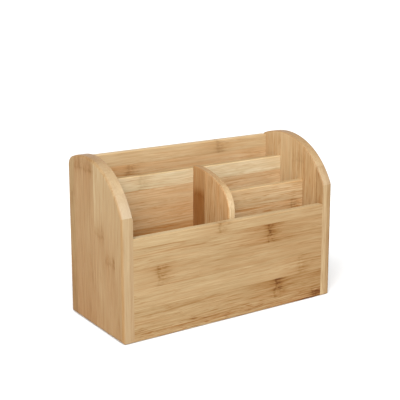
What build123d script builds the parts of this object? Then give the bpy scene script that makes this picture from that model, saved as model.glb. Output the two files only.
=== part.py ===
"""Open desk organizer made of laminated bamboo boards.

Two crowned side panels carry a front panel, a back panel and a base.  A middle divider
runs from side to side, a centre divider parts the space in front of it, and a short
divider makes the right-hand bays.  Rows of boards rise from front to back.

Frame: +X to the right, +Y to the back, +Z up.  The origin is on the underside, in the
middle of the width and of the depth.  All sizes are in millimetres.
"""
import os
from math import acos, degrees, sin

from build123d import *

# ---- overall size and boards -------------------------------------------------------
width = 252.0              # over the outer faces of the side panels
depth = 107.0              # over the front and rear edges of the side panels
side_thickness = 12.0
front_thickness = 8.0
back_thickness = 8.0
base_thickness = 8.0
divider_thickness = 8.0
back_inset = 1.0           # back panel's rear face, in from the sides' rear edges

# ---- heights: each row of boards rises above the one in front of it -----------------
front_height = 100.0
short_rise = 20.0          # short divider above the front panel
middle_rise = 20.0         # middle divider above the short divider
back_rise = 20.0           # back panel above the middle divider
centre_lift = 2.5          # centre divider's top above the middle divider
shoulder_rise = 20.5       # front end of the sides' crown above the front panel
rear_drop = 0.8            # rear end of the crown's arc below the back panel's top

# ---- bays ---------------------------------------------------------------------------
bay_depth = 63.5           # front panel to middle divider
front_bay_depth = 25.0     # front panel to short divider
left_bay_width = 113.0     # left side panel to centre divider

# ---- curves and edges ---------------------------------------------------------------
crown_radius = 80.0        # arc over the top of each side panel
rear_corner_radius = 10.0  # where the crown meets the rear edge
side_roundover = 2.5       # all round the outer face of each side panel
edge_ease = 0.8            # flat sanded off the arrises of the inner boards
nose_radius = 28.0         # front curve of the centre divider
brow_radius = 106.0        # long curve behind it

# ---- joints -------------------------------------------------------------------------
housing_depth = 3.0        # grooves that take the dividers' ends
housing_stop = 8.0         # a groove ends this far below the top of the lower board
housing_play = 0.1         # on each side of a divider and beyond its end
dowel_diameter = 4.0
dowel_length = 20.0
dowel_cover = 3.0          # wood left between a dowel hole and the side's outer face
dowel_play = 0.05          # glue line round a dowel
dowel_end_room = 0.5       # room for glue at each end of a dowel
dowel_margin = 18.0        # first and last dowel, in from the ends of their row
front_dowels = 2           # in each end of the front panel
back_dowels = 3            # in each end of the back panel
base_dowels = 2            # in each end of the base

# ---- places worked out from the sizes above -----------------------------------------
front_y = -depth / 2
rear_y = depth / 2
inner_x = width / 2 - side_thickness
front_inside = front_y + front_thickness
back_rear = rear_y - back_inset
back_front = back_rear - back_thickness
short_front = front_inside + front_bay_depth
short_back = short_front + divider_thickness
middle_front = front_inside + bay_depth
middle_back = middle_front + divider_thickness
centre_left = -inner_x + left_bay_width
centre_right = centre_left + divider_thickness

short_height = front_height + short_rise
middle_height = short_height + middle_rise
back_height = middle_height + back_rise
centre_height = middle_height + centre_lift
shoulder_height = front_height + shoulder_rise

# The centre divider's top is two arcs: the nose turns from upright by nose_sweep, and
# the brow turns the rest of the way to level, where it reaches the middle divider.
nose_sweep = acos((bay_depth - nose_radius) / (brow_radius - nose_radius))
nose_base = centre_height - nose_radius * sin(nose_sweep) - brow_radius * (1 - sin(nose_sweep))

tongue = housing_depth - housing_play
short_tongue_top = short_height - housing_stop
middle_tongue_top = middle_height - housing_stop
nose_tongue_top = min(front_height, nose_base) - housing_stop


def block(x, y, z):
    """A square-edged block between two limits along each axis."""
    middle = Vector(sum(x) / 2, sum(y) / 2, sum(z) / 2)
    return Pos(middle) * Box(x[1] - x[0], y[1] - y[0], z[1] - z[0])


def eased_top(board):
    """The same board with the arrises along its level top edge sanded off."""
    top_edges = board.edges().filter_by(Axis.X).group_by(Axis.Z)[-1]
    return chamfer(top_edges, edge_ease)


def housing(x, y, top):
    """The space milled for a divider's end, from the base up to its stopped top."""
    return block(x, (y[0] - housing_play, y[1] + housing_play), (base_thickness, top + housing_play))


def spread(low, high, count):
    """Evenly spaced places, the outer ones a margin in from the two ends."""
    first = low + dowel_margin
    last = high - dowel_margin
    return [first + (last - first) * step / (count - 1) for step in range(count)]


# ---- dowel joints between the end boards and the side panels -------------------------
# Each dowel lies along X and crosses the face where a board butts against a side panel.
dowel_outer_x = inner_x + side_thickness - dowel_cover - dowel_end_room
dowel_middle_x = dowel_outer_x - dowel_length / 2

front_dowel_places = [
    (front_y + front_thickness / 2, z) for z in spread(0, front_height, front_dowels)
]
back_dowel_places = [
    (back_front + back_thickness / 2, z) for z in spread(0, back_height, back_dowels)
]
base_dowel_places = [
    (y, base_thickness / 2) for y in spread(front_inside, back_front, base_dowels)
]


def rods(places, diameter, length):
    """Round rods along X at both ends of a board, one for each (y, z) place."""
    rod = Rot(0, 90, 0) * Cylinder(diameter / 2, length)
    return [Pos(end * dowel_middle_x, y, z) * rod for end in (-1, 1) for y, z in places]


def dowel_holes(places):
    """The bores for a row of dowels, with room for glue round and beyond them."""
    return rods(places, dowel_diameter + 2 * dowel_play, dowel_length + 2 * dowel_end_room)


def dowels(places):
    """The dowels of one row of joints, each a solid of its own."""
    return Compound(children=rods(places, dowel_diameter, dowel_length))


# ---- side panels ---------------------------------------------------------------------
def side_blank():
    """The right side panel before its joints: a crowned board, rounded on its outer face."""
    front_shoulder = (front_y, shoulder_height)
    rear_shoulder = (rear_y, back_height - rear_drop)
    outline = Polyline(rear_shoulder, (rear_y, 0), (front_y, 0), front_shoulder)
    outline += RadiusArc(front_shoulder, rear_shoulder, crown_radius)
    profile = make_face(Plane.YZ.offset(inner_x) * outline)
    top_corner = profile.vertices().group_by(Axis.Y)[-1].sort_by(Axis.Z)[-1]
    profile = fillet(top_corner, rear_corner_radius)
    board = extrude(profile, side_thickness, dir=(1, 0, 0))
    outer_rim = board.faces().sort_by(Axis.X)[-1].edges()
    board = fillet(outer_rim, side_roundover)
    inner_rim = board.faces().sort_by(Axis.X)[0].edges()
    return chamfer(inner_rim.filter_by(GeomType.CIRCLE), edge_ease)


def side_panel():
    """The right side panel with its dowel holes and the housing of the middle divider."""
    panel = side_blank()
    groove_x = (inner_x, inner_x + housing_depth)
    panel -= housing(groove_x, (middle_front, middle_back), middle_tongue_top)
    return panel - dowel_holes(front_dowel_places + back_dowel_places + base_dowel_places)


right_side_panel = side_panel()
left_side_panel = mirror(right_side_panel, Plane.YZ)
right_side_panel -= housing(
    (inner_x, inner_x + housing_depth), (short_front, short_back), short_tongue_top
)

# ---- front, back and base --------------------------------------------------------------
front_panel = eased_top(block((-inner_x, inner_x), (front_y, front_inside), (0, front_height)))
front_panel -= dowel_holes(front_dowel_places)
front_panel -= block(
    (centre_left - housing_play, centre_right + housing_play),
    (front_inside - housing_depth, front_inside),
    (base_thickness, nose_tongue_top + housing_play),
)

back_panel = eased_top(block((-inner_x, inner_x), (back_front, back_rear), (0, back_height)))
back_panel -= dowel_holes(back_dowel_places)

base_panel = block((-inner_x, inner_x), (front_inside, back_front), (0, base_thickness))
base_panel -= dowel_holes(base_dowel_places)


# ---- dividers ------------------------------------------------------------------------
def middle_board():
    """The divider from side to side, with a tongue at each end and the centre housing."""
    body = eased_top(
        block((-inner_x, inner_x), (middle_front, middle_back), (base_thickness, middle_height))
    )
    body += block(
        (-inner_x - tongue, inner_x + tongue),
        (middle_front, middle_back),
        (base_thickness, middle_tongue_top),
    )
    return body - block(
        (centre_left - housing_play, centre_right + housing_play),
        (middle_front, middle_front + housing_depth),
        (base_thickness, middle_tongue_top + housing_play),
    )


def centre_board():
    """The curved divider between the front panel and the middle divider."""
    foot = (front_inside, base_thickness)
    heel = (middle_front, base_thickness)
    front_edge = Line(foot, (front_inside, nose_base))
    nose = JernArc(front_edge @ 1, front_edge % 1, nose_radius, -degrees(nose_sweep))
    brow = JernArc(nose @ 1, nose % 1, brow_radius, degrees(nose_sweep) - 90)
    outline = front_edge + nose + brow + Polyline(brow @ 1, heel, foot)
    profile = make_face(Plane.YZ.offset(centre_left) * outline)
    body = extrude(profile, divider_thickness, dir=(1, 0, 0))
    body = chamfer(body.edges().filter_by(GeomType.CIRCLE), edge_ease)
    across = (centre_left, centre_right)
    body += block(across, (front_inside - tongue, front_inside), (base_thickness, nose_tongue_top))
    body += block(across, (middle_front, middle_front + tongue), (base_thickness, middle_tongue_top))
    groove_x = (centre_right - housing_depth, centre_right)
    return body - housing(groove_x, (short_front, short_back), short_tongue_top)


def short_board():
    """The low divider between the centre divider and the right side panel."""
    body = eased_top(
        block((centre_right, inner_x), (short_front, short_back), (base_thickness, short_height))
    )
    return body + block(
        (centre_right - tongue, inner_x + tongue),
        (short_front, short_back),
        (base_thickness, short_tongue_top),
    )


# ---- one file for each piece -----------------------------------------------------------
pieces = {
    "left_side_panel": left_side_panel,
    "right_side_panel": right_side_panel,
    "front_panel": front_panel,
    "back_panel": back_panel,
    "base_panel": base_panel,
    "middle_divider": middle_board(),
    "centre_divider": centre_board(),
    "short_divider": short_board(),
    "front_dowels": dowels(front_dowel_places),
    "back_dowels": dowels(back_dowel_places),
    "base_dowels": dowels(base_dowel_places),
}

os.makedirs("parts", exist_ok=True)
for name, piece in pieces.items():
    export_step(piece, f"parts/{name}.step")
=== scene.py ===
from functools import partial
from math import pi, radians

import bpy
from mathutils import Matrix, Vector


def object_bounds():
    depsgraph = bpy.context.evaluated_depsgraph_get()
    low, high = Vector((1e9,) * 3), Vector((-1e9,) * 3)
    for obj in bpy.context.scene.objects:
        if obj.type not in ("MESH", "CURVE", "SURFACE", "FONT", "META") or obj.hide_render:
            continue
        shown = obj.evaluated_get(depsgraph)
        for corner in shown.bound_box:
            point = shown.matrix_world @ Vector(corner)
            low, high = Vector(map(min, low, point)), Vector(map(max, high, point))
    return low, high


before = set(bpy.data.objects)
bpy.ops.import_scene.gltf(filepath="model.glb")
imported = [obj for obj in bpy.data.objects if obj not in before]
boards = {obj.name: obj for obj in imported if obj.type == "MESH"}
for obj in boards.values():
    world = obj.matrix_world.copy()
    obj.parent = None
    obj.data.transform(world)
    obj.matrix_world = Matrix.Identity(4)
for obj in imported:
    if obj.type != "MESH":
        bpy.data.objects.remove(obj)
cad_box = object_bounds()


# ---- Side panels ----------------------------------------------------------------------
# Two plies of upright bamboo strips, glued face to face, make each 12 mm side.  The crown
# is sawn across the grain and rounded over outside, and the ply line shows at the front.
def add(tree, kind, inputs=(), **settings):
    """Adds one node with its settings, and links or fills its inputs in order or by name.

    A node given as an input is linked from its first output.
    """
    node = tree.nodes.new("ShaderNode" + kind)
    for name, value in settings.items():
        setattr(node, name, value)
    for socket, value in inputs.items() if isinstance(inputs, dict) else enumerate(inputs):
        if isinstance(value, bpy.types.Node):
            value = value.outputs[0]
        if isinstance(value, bpy.types.NodeSocket):
            tree.links.new(value, node.inputs[socket])
        else:
            node.inputs[socket].default_value = value
    return node


def linear(code):
    """An sRGB hex colour as linear RGBA: each channel through the sRGB transfer curve."""
    parts = [int(code[i:i + 2], 16) / 255 for i in (1, 3, 5)]
    curve = [c / 12.92 if c <= 0.04045 else ((c + 0.055) / 1.055) ** 2.4 for c in parts]
    return (*curve, 1.0)


def fill_ramp(ramp, stops, interpolation):
    """Puts (place, colour) stops on a colour ramp in place of its own two."""
    ramp.interpolation = interpolation
    while len(ramp.elements) > 1:
        ramp.elements.remove(ramp.elements[-1])
    for place, colour in stops[1:]:
        ramp.elements.new(place).color = colour
    ramp.elements[0].position, ramp.elements[0].color = stops[0]


# An upright board: the turn that brings its grain to X, its strips to Y and its plies to Z.
UPRIGHT = (0, pi / 2, 0)

# Bamboo from dark knuckle to pale straw, under a clear lacquer that warms it.
HONEY = ((0.0, "#5a3513"), (0.2, "#7d5b31"), (0.4, "#8f734e"), (0.55, "#9b825e"),
         (0.7, "#aa936e"), (0.85, "#b9a481"), (1.0, "#cab898"))
STEAMED = "#f2c08c"    # filters the honey colours towards the red-brown of steamed bamboo
PAINTED_SHEEN_COLOUR = "#ad9f8b"    # whitish grey of a painted sheen on edges and at a crown's shoulder


def laminated_bamboo(name, turn, first_edge, grain_start, strips, plies=1, ply_line=1000.0,
                     strip_width=20.0, end_tone=0.6, painted_crest_shade=0.0, painted_edge_light=0.0, painted_arris_shade=0.0,
                     seed=0.0, painted_shade_slope=0.0, even_at=0.0):
    """Split bamboo strips, planed, glued edge to edge and lacquered.  Lengths are in mm.

    strips has six values for each strip, ply after ply: its tone from 0, dark, to 1, pale;
    its redness; how its tone changes past its knuckle; where the knuckle is along the
    grain; how strong the knuckle is; and how streaky the strip is, from 0 to 2.  The strip
    at a point is the distance across the grain, from first_edge, divided by strip_width.
    grain_start is where the grain begins, and the second ply starts at ply_line through
    the board.  end_tone is the tone of sawn ends.  The next three are painted light:
    painted_crest_shade is the painted shade that square-cut ends gain, painted_edge_light
    the painted highlight that planed edges gain, painted shade where it is below 0, and
    painted_arris_shade the painted shade that round-overs gain.  All strips gain
    painted_shade_slope in tone for each millimetre along the grain past even_at: painted
    shade and light that darken a board towards one end and lighten it towards the other.
    """
    material = bpy.data.materials.new(name)
    material.use_nodes = True
    material.node_tree.nodes.clear()
    node = partial(add, material.node_tree)

    def total(*parts, start=0.0):
        """start + part * weight + part * weight ..., where a weight may be a node too."""
        for part, weight in parts:
            start = node("Math", (part, weight, start), operation="MULTIPLY_ADD")
        return start

    # Millimetres along the grain, across the strips and through the board.
    metre = 1000.0
    place = node("TexCoord").outputs["Object"]
    grain = node("Mapping", {"Vector": place, "Rotation": turn, "Scale": (metre,) * 3})
    along, across, through = node("SeparateXYZ", (grain,)).outputs

    # Which strip this is, counted through both plies.
    count = len(strips)
    strips_over = total((across, 1 / strip_width), start=-first_edge / strip_width)
    within_ply = node("Math", (strips_over,), operation="FLOOR")
    second_ply = node("Math", (through, ply_line), operation="GREATER_THAN")
    number = total((second_ply, count // plies), start=within_ply)
    step = total((number, 1 / count), start=0.5 / count)

    def by_strip(*values):
        """Three values of the strip at this point, from red, green and blue of one ramp.

        The ramp has a step for each strip.
        """
        ramp = node("ValToRGB", (step,))
        stops = [(k / count, (*row, 1)) for k, row in enumerate(zip(*values))]
        fill_ramp(ramp.color_ramp, stops, "CONSTANT")
        return node("SeparateColor", (ramp,)).outputs

    # What the strip is like.  The ramps hold no negative values, so redness and the change
    # past the knuckle are stored shifted; places are in metres, and streakiness is halved.
    tones, reds, changes, knuckles, strengths, streakiness = zip(*strips)
    red_shift, change_shift = 0.2, 0.5
    tone, redness, change = by_strip(tones, [red_shift + red for red in reds],
                                     [change_shift + value for value in changes])
    knuckle, strength, streaky = by_strip([(at - grain_start) / metre for at in knuckles],
                                          strengths, [value / 2 for value in streakiness])
    strip_seed = total((number, 3.7), start=seed)

    # The fibres run up to 0.9 degrees askew in a strip, 0.015 sideways for 1 along, and
    # wander 2 mm from side to side, about every 80 mm.
    steepest = 0.015
    skew = node("TexWhiteNoise", {"W": strip_seed}, noise_dimensions="1D").outputs["Value"]
    slope = total((skew, 2 * steepest), start=-steepest)
    sway = node("VectorMath", (grain, (0.012, 0.03, 0.03)), operation="MULTIPLY")
    wander = node("TexNoise", {"Vector": sway, "W": strip_seed, "Scale": 1.0, "Detail": 1.0},
                  noise_dimensions="4D")
    drift = total((wander, 4.0), (along, slope), start=across)
    fibre = node("CombineXYZ", (along, drift, through))

    def streaks(length, width, detail, shift):
        """Noise drawn out along the grain: the length and width of one streak in mm.

        shift sets one pattern apart from the next.
        """
        drawn = node("VectorMath", (fibre, (1 / length, 1 / width, 1 / width)), operation="MULTIPLY")
        moved = total((strip_seed, 1.0), start=shift)
        return node("TexNoise", {"Vector": drawn, "W": moved, "Scale": 1.0, "Detail": detail,
                                 "Roughness": 0.55}, noise_dimensions="4D")

    def darts(length, width, shift, low, high):
        """Only the peaks of such streaks: 0 below low, 1 above high, smooth between."""
        peaks = {"Value": streaks(length, width, 1.0, shift), "From Min": low, "From Max": high}
        return node("MapRange", peaks, interpolation_type="SMOOTHSTEP")

    # Fibre bundles are half a millimetre wide, and drawn 0.9 mm wide so that they show.
    fine = streaks(28.0, 0.9, 2.0, 0.0)
    broad = streaks(150.0, 4.0, 2.0, 11.0)
    cloud = streaks(45.0, 14.0, 2.0, 23.0)

    # Single dark fibres, short and long, gather in the lively parts of a streaky strip.
    lively = total((streaks(70.0, 9.0, 1.0, 67.0), 2.0), (streaky, 2.0), start=-1.0)
    lively = node("Math", (lively, 0.0), operation="MAXIMUM")
    short_darts = darts(13.0, 0.8, 37.0, 0.55, 0.70)
    long_darts = darts(80.0, 1.2, 83.0, 0.56, 0.72)
    dark_fibres = total((node("Math", (short_darts, long_darts), operation="MAXIMUM"), lively))

    # The distance along the grain past the middle of the knuckle, which waves to and fro by
    # a few millimetres.
    waviness = 9.0
    wave = node("VectorMath", (grain, (0.06, 0.17, 0.1)), operation="MULTIPLY")
    wave = node("TexNoise", {"Vector": wave, "W": strip_seed, "Scale": 1.0, "Detail": 2.0},
                noise_dimensions="4D")
    reach = total((along, 1.0), (wave, waviness), (knuckle, -metre),
                  start=-waviness / 2 - grain_start)

    def bar(offset, half_width):
        """A band across the grain: exp(-((reach - offset) / half_width) squared)."""
        away = total((reach, 1 / half_width), start=-offset / half_width)
        squared = total((away, away))
        return node("Math", (total((squared, -1.0)),), operation="EXPONENT")

    # A knuckle: a dark bar across the strip and a faint, broken one, curls of fibre around
    # them, dashes of dark fibre beyond, a brown halo, and a stain in the wood before it.
    broken = {"Value": streaks(7.0, 1.8, 2.0, 51.0), "From Min": 0.34, "From Max": 0.62}
    broken = node("MapRange", broken)
    dark_bar = total((bar(-1.6, 1.4), total((broken, 0.35), start=0.65)))
    faint_bar = total((bar(3.4, 1.2), total((broken, -0.5), start=0.4)))
    dashes = total((darts(9.0, 1.4, 97.0, 0.50, 0.66), bar(7.5, 6.0)))
    curls = total((darts(3.2, 2.2, 103.0, 0.46, 0.60), bar(0.8, 5.0)))
    bars = total((faint_bar, 1.0), (dashes, 1.0), (curls, 0.75), start=dark_bar)
    bars = total((bars, strength))
    halo = total((bar(1.0, 8.0), strength))
    stain = total((bar(-9.0, 24.0), strength))

    # Past its knuckle a strip changes tone.  Along the grain the whole board changes tone too, and
    # that is painted shade and light, darker towards one end and paler towards the other.
    past = node("MapRange", {"Value": reach, "From Min": -3.0, "From Max": 9.0},
                interpolation_type="SMOOTHSTEP")
    past = total((past, total((change, 1.0), start=-change_shift)))
    past = total((along, painted_shade_slope), (past, 1.0), start=-painted_shade_slope * even_at)

    # The glue line between two strips fades out within a millimetre.
    to_glue = total((node("Math", (strips_over, 0.5), operation="PINGPONG"), strip_width))
    glue = node("Math", (total((to_glue, -2.6)),), operation="EXPONENT")

    # Which way the surface faces: sawn is 1 on end grain, and square_cut only where the cut
    # is square; rim is 1 on the board's edges; arris is 1 halfway round a round-over.
    normal = node("TexCoord").outputs["Normal"]
    facing = node("SeparateXYZ", (node("Mapping", {"Vector": normal, "Rotation": turn}),)).outputs
    end = node("Math", (facing[0],), operation="ABSOLUTE")
    sawn = total((end, end))
    square_cut = node("Math", (end, 16.0), operation="POWER")
    flat = node("Math", (facing[2],), operation="ABSOLUTE")
    rim = node("Math", (1.0, flat), operation="SUBTRACT", use_clamp=True)
    flat_squared = total((flat, flat))
    arris = total((flat_squared, total((flat_squared, -4.0), start=4.0)))

    # All of it added up as one tone, which picks the honey colour.  Part of it is painted light:
    # painted shade on square-cut ends such as a crown's top, a painted highlight on planed
    # edges, which is painted shade on boards whose weight for it is below 0, painted shade
    # halfway round a round-over, and the painted shade and light along the grain.
    tone = total((past, 1.0), start=tone)
    towards_end = total((tone, -1.0), start=end_tone)
    tone = total((sawn, towards_end), (square_cut, painted_crest_shade), start=tone)
    contrast = total((lively, 0.55), (halo, 1.3), start=0.65)
    for pattern, depth in ((fine, 0.52), (broad, 0.22), (cloud, 0.16)):
        swing = total((pattern, 1.0), start=-0.5)
        tone = total((total((swing, contrast)), depth), start=tone)
    tone = total((dark_fibres, -0.15), (glue, -0.05), (rim, painted_edge_light), (arris, painted_arris_shade),
                 (bars, -0.14), (halo, -0.09), (stain, -0.05), start=tone)
    honey = node("ValToRGB", (tone,))
    fill_ramp(honey.color_ramp, [(at, linear(code)) for at, code in HONEY], "LINEAR")

    # Whole strips, long streaks in them, dark fibres and stains go redder or yellower.  Where a
    # strip grows darker past its knuckle or under the painted shade along the grain it goes
    # redder, and edges go less red, as part of the painted light on them.  In a Mix node for
    # colours, input 0 is the factor, inputs 6 and 7 are the colours, and output 2 is the result.
    warmth = 0.6
    warm = streaks(55.0, 3.0, 2.0, 131.0)
    redden = total((redness, 1.0), (warm, warmth), (past, -0.8), (dark_fibres, 0.30), (halo, 0.04),
                   (stain, 0.12), (bars, -0.1), start=-red_shift - warmth / 2)
    redden = total((redden, total((rim, -0.75), start=1.0)))
    colour = node("Mix", {0: redden, 6: honey, 7: linear(STEAMED)}, data_type="RGBA",
                  blend_type="MULTIPLY", clamp_factor=False).outputs[2]

    # Edges that gain a painted highlight also get a painted sheen, a whitish grey mixed into
    # their colour, most of all where the cut is only a slant across the grain, as it is at a
    # crown's shoulder.
    slant = node("Math", (total((sawn, -1.0), start=1.0), 4.0), operation="POWER")
    slant = total((slant, end))
    painted_sheen = total((rim, total((slant, 17.0), start=1.0)))
    painted_sheen = total((painted_sheen, painted_edge_light))
    colour = node("Mix", {0: painted_sheen, 6: colour, 7: linear(PAINTED_SHEEN_COLOUR)}, data_type="RGBA").outputs[2]

    # Satin lacquer: an even sheen, a little rougher where the fibres stand up.
    sheen = total((fine, 0.14), start=0.38)
    relief = total((glue, -0.6), (dark_fibres, -0.5), start=fine)
    bump = node("Bump", {"Height": relief, "Strength": 0.25, "Distance": 0.0001})
    surface = node("BsdfPrincipled", {"Base Color": colour, "Roughness": sheen,
                                      "Specular IOR Level": 0.1, "Normal": bump})
    node("OutputMaterial", (surface,))
    return material


def finish_board(piece, material):
    """Puts one material on every face of a CAD board."""
    slots = boards[piece].data.materials
    slots.clear()
    slots.append(material)


# Straw-coloured strips with two small knuckles outside, a front edge with its ply line, and a
# honey-coloured crown.  Painted light on it: a painted highlight on the front edge, a whitish
# painted sheen at the crown's shoulder, painted shade on the crown's top and halfway round
# its round-overs, the rearmost outer strip darker and greyer with painted shade, most of all
# low down, and painted shade that darkens the whole side towards the bottom.
# The inner ply comes first, each from the front to the rear: tone, redness, change past
# the knuckle, place of the knuckle, its strength, and how streaky the strip is.
left_bamboo = laminated_bamboo(
    "left side, upright bamboo strips, satin lacquer", UPRIGHT, first_edge=-60.0, grain_start=0.0,
    strips=[(0.35, 0.20, 0.00, 30.0, 0.0, 0.3), (0.54, 0.20, 0.00, 40.0, 0.5, 0.4),
            (0.52, 0.20, 0.00, 120.0, 0.6, 0.4), (0.56, 0.20, 0.00, 60.0, 0.6, 0.4),
            (0.54, 0.20, 0.00, 90.0, 0.6, 0.4), (0.54, 0.20, 0.00, 50.0, 0.0, 0.4),
            (0.42, 0.04, 0.00, 73.0, 0.0, 0.3), (0.44, 0.06, 0.01, 73.0, 0.6, 0.3),
            (0.42, 0.04, 0.05, 97.0, 0.5, 0.4), (0.38, 0.11, -0.01, 156.0, 0.7, 0.4),
            (0.38, 0.13, -0.04, 156.0, 0.7, 0.4), (0.25, -0.08, 0.06, 60.0, 0.0, 0.5)],
    plies=2, ply_line=118.0, end_tone=0.37, painted_crest_shade=-0.25, painted_edge_light=0.13, painted_arris_shade=-0.12,
    seed=1.0, painted_shade_slope=0.0009, even_at=85.0)
finish_board("left_side_panel", left_bamboo)

# The same board with livelier strips inside, which are also paler and redder, partly their
# own colour and partly painted light for the light bounced inside the organizer.  Its edges
# and crown carry the same kinds of painted highlight, sheen and shade.  Here the outer ply
# comes first.
right_bamboo = laminated_bamboo(
    "right side, upright bamboo strips, satin lacquer", UPRIGHT, first_edge=-62.0, grain_start=0.0,
    strips=[(0.30, 0.00, 0.00, 60.0, 0.0, 0.5), (0.50, 0.10, 0.00, 80.0, 0.6, 0.5),
            (0.56, 0.15, 0.00, 30.0, 0.6, 0.4), (0.54, 0.15, 0.00, 120.0, 0.6, 0.5),
            (0.56, 0.15, 0.00, 70.0, 0.6, 0.4), (0.54, 0.10, 0.00, 50.0, 0.0, 0.4),
            (0.52, 0.28, 0.00, 30.0, 0.0, 0.9), (0.69, 0.34, 0.00, 90.0, 0.0, 0.9),
            (0.71, 0.29, 0.00, 141.0, 0.4, 0.7), (0.77, 0.27, 0.00, 60.0, 0.6, 0.5),
            (0.74, 0.31, 0.00, 90.0, 0.6, 0.6), (0.72, 0.30, 0.00, 50.0, 0.0, 0.4)],
    plies=2, ply_line=-120.0, end_tone=0.27, painted_crest_shade=-0.05, painted_edge_light=0.07, painted_arris_shade=-0.12,
    seed=40.0)
finish_board("right_side_panel", right_bamboo)

# ---- Front, back and base -------------------------------------------------------------
# One ply of level strips, 8 mm thick, cut to length between the side panels and dowelled
# to them.  The base lies between the front and the back, flush with the underside.

# The same turn for a board on edge, with its grain level, and for one that lies flat.  Both
# count their grain from the left end of the organizer, and their strips from the bottom up
# or from the front to the rear.
ON_EDGE = (-pi / 2, 0, 0)
FLAT = (0, 0, 0)
left_end = round(1000 * cad_box[0][0])

# Six strips with a knuckle each.  The lowest is the darkest, with long red-brown fibres.  A
# painted highlight lies on its edges, and painted shade makes it darker and redder towards
# its right end.
front_bamboo = laminated_bamboo(
    "front panel, level bamboo strips, satin lacquer", ON_EDGE, first_edge=-10.0, grain_start=left_end,
    strips=[(0.45, 0.03, -0.05, 105.0, 0.8, 1.7), (0.455, 0.00, -0.05, 55.0, 1.0, 0.8),
            (0.545, 0.00, -0.06, 86.0, 0.6, 0.4), (0.565, 0.00, -0.06, -86.0, 1.0, 0.4),
            (0.53, 0.05, -0.05, 44.0, 1.0, 0.6), (0.615, 0.00, -0.04, -16.0, 1.0, 0.3)],
    painted_edge_light=0.07, seed=80.0, painted_shade_slope=-0.0003, even_at=-60.0)
finish_board("front_panel", front_bamboo)

# Warm strips, with small knuckles that give its wide outer face some life.  Its top two
# strips, seen inside, are paler and redder, partly painted light for the light bounced inside
# the organizer, and painted shade darkens its top edges.
back_bamboo = laminated_bamboo(
    "back panel, level bamboo strips, satin lacquer", ON_EDGE, first_edge=-14.0, grain_start=left_end,
    strips=[(0.62, 0.10, 0.00, 60.0, 0.0, 0.5), (0.64, 0.15, 0.00, -40.0, 0.8, 0.4),
            (0.66, 0.10, 0.00, 70.0, 0.7, 0.6), (0.64, 0.10, 0.00, -95.0, 0.7, 0.4),
            (0.66, 0.10, 0.00, 20.0, 0.8, 0.5), (0.64, 0.10, 0.00, 95.0, 0.7, 0.3),
            (0.68, 0.20, 0.00, 5.0, 0.6, 0.5), (0.82, 0.44, 0.02, -62.0, 1.0, 0.4),
            (0.77, 0.22, 0.01, 50.0, 0.9, 0.3)],
    painted_edge_light=-0.12, seed=120.0)
finish_board("back_panel", back_bamboo)

# Pale strips, paler than the wood outside: painted light, which keeps the deep compartments
# from looking black.
base_bamboo = laminated_bamboo(
    "base, level bamboo strips, satin lacquer", FLAT, first_edge=-56.0, grain_start=left_end,
    strips=[(0.70, 0.10, 0.00, 30.0, 0.8, 0.4), (0.72, 0.10, 0.00, -70.0, 0.8, 0.5),
            (0.68, 0.10, 0.00, 80.0, 0.8, 0.4), (0.74, 0.10, 0.00, -20.0, 0.8, 0.3),
            (0.70, 0.10, 0.00, 50.0, 0.8, 0.5), (0.70, 0.10, 0.00, -90.0, 0.8, 0.4)],
    seed=160.0)
finish_board("base_panel", base_bamboo)

# ---- Dividers -------------------------------------------------------------------------
# 8 mm boards of one ply of bamboo, whose ends sit in housings milled into their
# neighbours.  The centre one is upright, with a top rounded in two arcs.

# Its top strip is the palest of all, and those below it go redder towards the base.  That
# paleness and redness is partly the wood's own and partly painted light, for the warm light
# bounced inside the compartments, and painted shade darkens its top edge.
middle_bamboo = laminated_bamboo(
    "middle divider, level bamboo strips, satin lacquer", ON_EDGE, first_edge=5.0, grain_start=left_end,
    strips=[(0.56, 0.20, 0.00, 60.0, 0.6, 0.4), (0.58, 0.20, 0.00, -30.0, 0.6, 0.5),
            (0.62, 0.20, 0.00, 20.0, 0.6, 0.4), (0.72, 0.72, 0.00, -80.0, 0.3, 0.7),
            (0.87, 0.54, 0.00, 105.0, 0.0, 0.7), (0.85, 0.40, 0.00, 160.0, 0.0, 0.7),
            (0.88, 0.01, 0.01, -63.0, 0.5, 0.5)],
    painted_edge_light=-0.37, seed=200.0)
finish_board("middle_divider", middle_bamboo)

# Three wider strips.  The rear one is dark, steamed bamboo below its knuckle.  The front two
# are pale and red, partly painted light for the light bounced inside the organizer, and its
# crest carries a painted highlight and sheen, with painted shade on its top and round-overs.
centre_bamboo = laminated_bamboo(
    "centre divider, upright bamboo strips, satin lacquer", UPRIGHT, first_edge=-46.0, grain_start=0.0,
    strips=[(0.79, 0.54, 0.00, 40.0, 0.6, 0.9), (0.76, 0.49, 0.00, 60.0, 0.6, 1.0),
            (0.40, 0.78, 0.24, 115.0, 0.3, 0.3)],
    strip_width=21.5, end_tone=0.40, painted_crest_shade=-0.05, painted_edge_light=0.04, painted_arris_shade=-0.08, seed=240.0)
finish_board("centre_divider", centre_bamboo)

# Honey-coloured, with one dark knuckle near its right end.  Its upper strips are paler and
# redder, partly painted light for the light bounced inside the organizer, and painted shade
# darkens its top edge.
short_bamboo = laminated_bamboo(
    "short divider, level bamboo strips, satin lacquer", ON_EDGE, first_edge=1.0, grain_start=left_end,
    strips=[(0.56, 0.20, 0.00, 40.0, 0.6, 0.4), (0.58, 0.20, 0.00, 90.0, 0.6, 0.5),
            (0.56, 0.20, 0.00, 30.0, 0.6, 0.4), (0.72, 0.45, 0.00, 70.0, 0.6, 0.5),
            (0.85, 0.42, 0.00, 101.0, 1.0, 0.9), (0.785, 0.29, 0.00, 170.0, 0.0, 0.8)],
    painted_edge_light=-0.16, seed=280.0)
finish_board("short_divider", short_bamboo)

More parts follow.
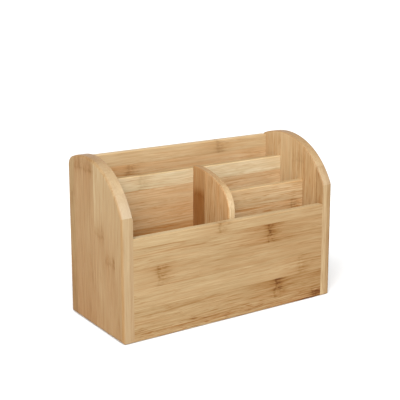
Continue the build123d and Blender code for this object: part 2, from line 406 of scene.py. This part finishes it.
# ---- Dowels ---------------------------------------------------------------------------
# Turned birch pins, glued into blind holes where the end boards and the base meet the
# sides.  They are pale and plain, and hidden once the organizer is together.
birch = laminated_bamboo(
    "dowels, turned birch, raw", ON_EDGE, first_edge=-200.0, grain_start=left_end,
    strips=[(0.85, 0.0, 0.0, 0.0, 0.0, 0.2)], strip_width=1000.0, seed=320.0)
for row in ("front_dowels", "back_dowels", "base_dowels"):
    finish_board(row, birch)

# ---- Floor ----------------------------------------------------------------------------
# A wide sheet of matt white paper.  Real boards stand on it at a few high points only, so
# it lies a hair below the underside, and a thin line of shade shows under the boards.
floor_half = 12.0
hair = 0.0008
corners = [(x * floor_half, y * floor_half, -hair) for x, y in ((-1, -1), (1, -1), (1, 1), (-1, 1))]
floor_mesh = bpy.data.meshes.new("floor")
floor_mesh.from_pydata(corners, [], [(0, 1, 2, 3)])
floor = bpy.data.objects.new("floor", floor_mesh)
bpy.context.scene.collection.objects.link(floor)
paper = bpy.data.materials.new("white paper, matt")
paper.use_nodes = True
sheet = paper.node_tree.nodes["Principled BSDF"].inputs
sheet["Base Color"].default_value = linear("#e0e0e0")
sheet["Roughness"].default_value = 0.9
sheet["Specular IOR Level"].default_value = 0.1
floor_mesh.materials.append(paper)

# ---- Light ----------------------------------------------------------------------------
# A white room, brighter towards the floor, and three broad soft lamps: the strongest high
# on the front left, one that fills the left side, and a faint low one behind.
world = bpy.data.worlds.new("white room")
world.use_nodes = True
room = world.node_tree
upward = add(room, "SeparateXYZ", (add(room, "TexCoord").outputs["Generated"],)).outputs[2]
glow = add(room, "MapRange", {"Value": upward, "From Min": 0.0, "From Max": 0.3, "To Min": 1.0,
                              "To Max": 0.42}, interpolation_type="SMOOTHSTEP")
room.links.new(glow.outputs[0], room.nodes["Background"].inputs["Strength"])
room.nodes["Background"].inputs["Color"].default_value = (1, 1, 1, 1)
bpy.context.scene.world = world

# Name, strength in W/m2, spread, height above the floor and bearing, in degrees.
for name, strength, spread, height, bearing in (("front lamp", 4.6, 50, 46, -34),
                                                ("left fill lamp", 1.3, 60, 30, -80),
                                                ("rear fill lamp", 0.7, 60, 8, 144)):
    lamp = bpy.data.lights.new(name, "SUN")
    lamp.energy = strength
    lamp.angle = radians(spread)
    lamp_object = bpy.data.objects.new(name, lamp)
    lamp_object.rotation_euler = (radians(90 - height), 0, radians(bearing))
    bpy.context.scene.collection.objects.link(lamp_object)

# ---- Camera ---------------------------------------------------------------------------
# It stands a metre off, to the front left, and looks a little down on the organizer.
# A tenth of a frame of shift makes up for part of a steeper look down.
look_down, look_right = 11.91, 33.84
camera = bpy.data.cameras.new("camera")
camera.sensor_width = 36.0
camera.lens = 83.37
camera.shift_y = -0.1
camera.clip_start, camera.clip_end = 0.01, 100
camera_object = bpy.data.objects.new("camera", camera)
camera_object.location = (-0.5157, -0.7622, 0.3456)
camera_object.rotation_euler = (radians(90 - look_down), 0, radians(-look_right))
bpy.context.scene.collection.objects.link(camera_object)
bpy.context.scene.camera = camera_object
bpy.context.scene.view_settings.view_transform = "Standard"
